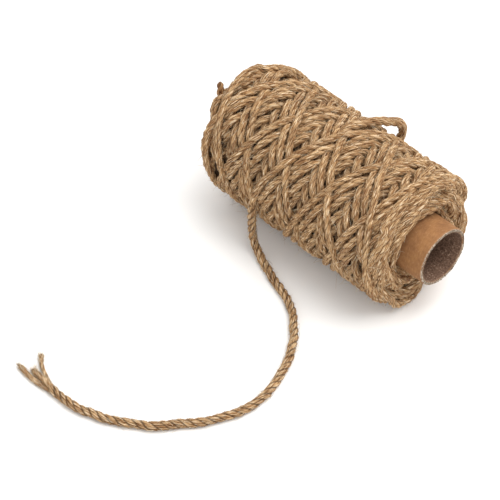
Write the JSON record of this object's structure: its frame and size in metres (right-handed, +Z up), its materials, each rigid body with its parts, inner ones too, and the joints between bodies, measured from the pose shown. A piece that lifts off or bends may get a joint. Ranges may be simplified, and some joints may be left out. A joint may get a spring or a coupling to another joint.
{
  "type": "roll of jute twine",
  "caption": "Roll of three-ply jute twine, cross wound on a cardboard core, lying on its side with its outer end loose on the surface.",
  "frame": {"origin": "bottom centre of the winding and its core, on the surface that the roll lies on; the loose end isn't counted", "axes": "+X along the roll's axis towards the longer bare end of the core, -Y towards the side where the loose end leaves, +Z up"},
  "size_m": [0.128, 0.1995, 0.0683],
  "materials": {
    "twine": "matt natural jute",
    "cardboard": "matt kraft paper"
  },
  "bodies": {
    "root": {"winding": "twine", "core": "cardboard", "loose_end": "twine", "ply_1": "twine", "ply_2": "twine", "ply_3": "twine"}
  },
  "joints": []
}
